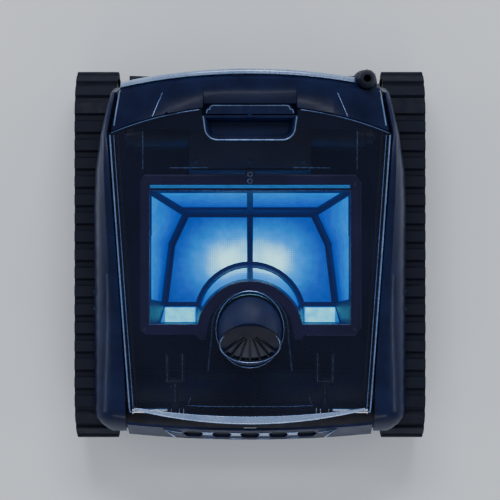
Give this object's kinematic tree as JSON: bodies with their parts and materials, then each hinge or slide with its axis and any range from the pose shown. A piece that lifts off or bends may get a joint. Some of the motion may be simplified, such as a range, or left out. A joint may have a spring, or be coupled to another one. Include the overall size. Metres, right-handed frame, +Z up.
{
  "type": "robotic pool cleaner",
  "caption": "Tracked robotic pool cleaner with a smoked clear lid over a lit filter canister, brushes at both ends, a rear carrying handle and a cable gland.",
  "frame": {"origin": "on the floor, under the middle of the two tracks", "axes": "+Y towards the carrying handle at the rear, +Z up, +X to the side with the cable gland"},
  "size_m": [0.404, 0.4296, 0.2339],
  "materials": {
    "navy_shell": "gloss",
    "black_plastic": "satin",
    "track_rubber": "matte",
    "smoked_lid": "clear gloss",
    "pale_trim": "satin metallic paint",
    "canister_plastic": "satin",
    "filter_mesh": "fine weave",
    "steel": "brushed",
    "sealed_case": "satin",
    "motor_can": "satin",
    "flap_silicone": "satin",
    "brush_rubber": "matte",
    "gear_nylon": "satin",
    "circuit_board": "satin",
    "lamp_lens": "gloss"
  },
  "bodies": {
    "chassis": {"chassis_floor": "black_plastic", "left_side_plate": "black_plastic", "right_side_plate": "black_plastic", "front_brush_bearing": "black_plastic", "rear_brush_bearing": "black_plastic", "pump_duct": "black_plastic", "left_inlet_duct": "black_plastic", "right_inlet_duct": "black_plastic", "cable_gland": "black_plastic", "left_side_cover": "navy_shell", "right_side_cover": "navy_shell", "front_nose": "navy_shell", "rear_cover": "navy_shell", "carry_handle": "navy_shell", "front_grille": "navy_shell", "rear_trim": "pale_trim", "canister_frame": "canister_plastic", "canister_rim": "canister_plastic", "filter_mesh": "filter_mesh", "canister_rod": "steel", "left_hinge_pin": "steel", "right_hinge_pin": "steel", "latch_spring": "steel", "front_left_axle": "steel", "front_right_axle": "steel", "rear_left_axle": "steel", "rear_right_axle": "steel", "motor_block_case": "sealed_case", "motor_block_cover": "sealed_case", "pump_motor": "motor_can", "left_drive_motor": "motor_can", "right_drive_motor": "motor_can", "control_board": "circuit_board", "lamp_board": "lamp_lens", "left_track": "track_rubber", "right_track": "track_rubber"},
    "lid": {"lid_window": "smoked_lid", "lid_lip": "pale_trim", "grip_cup": "navy_shell", "left_lid_arm": "black_plastic", "right_lid_arm": "black_plastic", "outlet_hood": "navy_shell", "outlet_grille": "black_plastic"},
    "latch": {"latch_button": "navy_shell"},
    "left_flap": {"left_inlet_flap": "flap_silicone"},
    "right_flap": {"right_inlet_flap": "flap_silicone"},
    "impeller_body": {"impeller": "gear_nylon"},
    "rear_left_wheel_body": {"rear_left_wheel": "gear_nylon"},
    "front_left_wheel_body": {"front_left_wheel": "gear_nylon"},
    "left_roller_body": {"left_roller": "gear_nylon"},
    "left_pinion_body": {"left_motor_pinion": "gear_nylon"},
    "front_left_brush_body": {"front_left_brush": "brush_rubber"},
    "rear_left_brush_body": {"rear_left_brush": "brush_rubber"},
    "rear_right_wheel_body": {"rear_right_wheel": "gear_nylon"},
    "front_right_wheel_body": {"front_right_wheel": "gear_nylon"},
    "right_roller_body": {"right_roller": "gear_nylon"},
    "right_pinion_body": {"right_motor_pinion": "gear_nylon"},
    "front_right_brush_body": {"front_right_brush": "brush_rubber"},
    "rear_right_brush_body": {"rear_right_brush": "brush_rubber"}
  },
  "joints": [
    {"name": "rear_left_wheel_spin", "type": "hinge", "parent": "chassis", "child": "rear_left_wheel_body", "pos_m": [-0.178, 0.157, 0.058], "axis": [1, 0, 0], "continuous": true},
    {"name": "front_left_wheel_spin", "type": "hinge", "parent": "chassis", "child": "front_left_wheel_body", "pos_m": [-0.178, -0.157, 0.058], "axis": [1, 0, 0], "continuous": true},
    {"name": "left_roller_spin", "type": "hinge", "parent": "chassis", "child": "left_roller_body", "pos_m": [-0.178, 0, 0.0247], "axis": [1, 0, 0], "continuous": true},
    {"name": "left_motor_spin", "type": "hinge", "parent": "chassis", "child": "left_pinion_body", "pos_m": [-0.16, 0.13685, 0.07815], "axis": [1, 0, 0], "continuous": true},
    {"name": "front_left_brush_spin", "type": "hinge", "parent": "chassis", "child": "front_left_brush_body", "pos_m": [-0.076, -0.17715, 0.03785], "axis": [1, 0, 0], "continuous": true},
    {"name": "rear_left_brush_spin", "type": "hinge", "parent": "chassis", "child": "rear_left_brush_body", "pos_m": [-0.076, 0.17715, 0.03785], "axis": [1, 0, 0], "continuous": true},
    {"name": "rear_right_wheel_spin", "type": "hinge", "parent": "chassis", "child": "rear_right_wheel_body", "pos_m": [0.178, 0.157, 0.058], "axis": [1, 0, 0], "continuous": true},
    {"name": "front_right_wheel_spin", "type": "hinge", "parent": "chassis", "child": "front_right_wheel_body", "pos_m": [0.178, -0.157, 0.058], "axis": [1, 0, 0], "continuous": true},
    {"name": "right_roller_spin", "type": "hinge", "parent": "chassis", "child": "right_roller_body", "pos_m": [0.178, 0, 0.0247], "axis": [1, 0, 0], "continuous": true},
    {"name": "right_motor_spin", "type": "hinge", "parent": "chassis", "child": "right_pinion_body", "pos_m": [0.16, 0.13685, 0.07815], "axis": [1, 0, 0], "continuous": true},
    {"name": "front_right_brush_spin", "type": "hinge", "parent": "chassis", "child": "front_right_brush_body", "pos_m": [0.076, -0.17715, 0.03785], "axis": [1, 0, 0], "continuous": true},
    {"name": "rear_right_brush_spin", "type": "hinge", "parent": "chassis", "child": "rear_right_brush_body", "pos_m": [0.076, 0.17715, 0.03785], "axis": [1, 0, 0], "continuous": true},
    {"name": "lid_hinge", "type": "hinge", "parent": "chassis", "child": "lid", "pos_m": [0, -0.178, 0.137], "axis": [1, 0, 0], "range_deg": [0, 75]},
    {"name": "latch_press", "type": "slide", "parent": "chassis", "child": "latch", "axis": [0, 0, -1], "range_m": [0, 0.005], "stiffness_N_per_m": 350, "springref_m": -0.004, "deforming": ["latch_spring"]},
    {"name": "left_flap_hinge", "type": "hinge", "parent": "chassis", "child": "left_flap", "pos_m": [-0.082, -0.0623, 0.0733], "axis": [-1, 0, 0], "range_deg": [0, 60]},
    {"name": "right_flap_hinge", "type": "hinge", "parent": "chassis", "child": "right_flap", "pos_m": [0.082, -0.0623, 0.0733], "axis": [-1, 0, 0], "range_deg": [0, 60]},
    {"name": "impeller_spin", "type": "hinge", "parent": "chassis", "child": "impeller_body", "pos_m": [0, -0.084, 0.104], "axis": [0, 0, 1], "continuous": true}
  ],
  "couplings": [
    {"joint": "front_left_wheel_spin", "follows": "rear_left_wheel_spin", "ratio": 1},
    {"joint": "left_roller_spin", "follows": "rear_left_wheel_spin", "ratio": 3.0938},
    {"joint": "left_motor_spin", "follows": "rear_left_wheel_spin", "ratio": 4},
    {"joint": "rear_left_brush_spin", "follows": "rear_left_wheel_spin", "ratio": 4},
    {"joint": "front_left_brush_spin", "follows": "rear_left_wheel_spin", "ratio": 4},
    {"joint": "front_right_wheel_spin", "follows": "rear_right_wheel_spin", "ratio": 1},
    {"joint": "right_roller_spin", "follows": "rear_right_wheel_spin", "ratio": 3.0938},
    {"joint": "right_motor_spin", "follows": "rear_right_wheel_spin", "ratio": 4},
    {"joint": "rear_right_brush_spin", "follows": "rear_right_wheel_spin", "ratio": 4},
    {"joint": "front_right_brush_spin", "follows": "rear_right_wheel_spin", "ratio": 4}
  ]
}
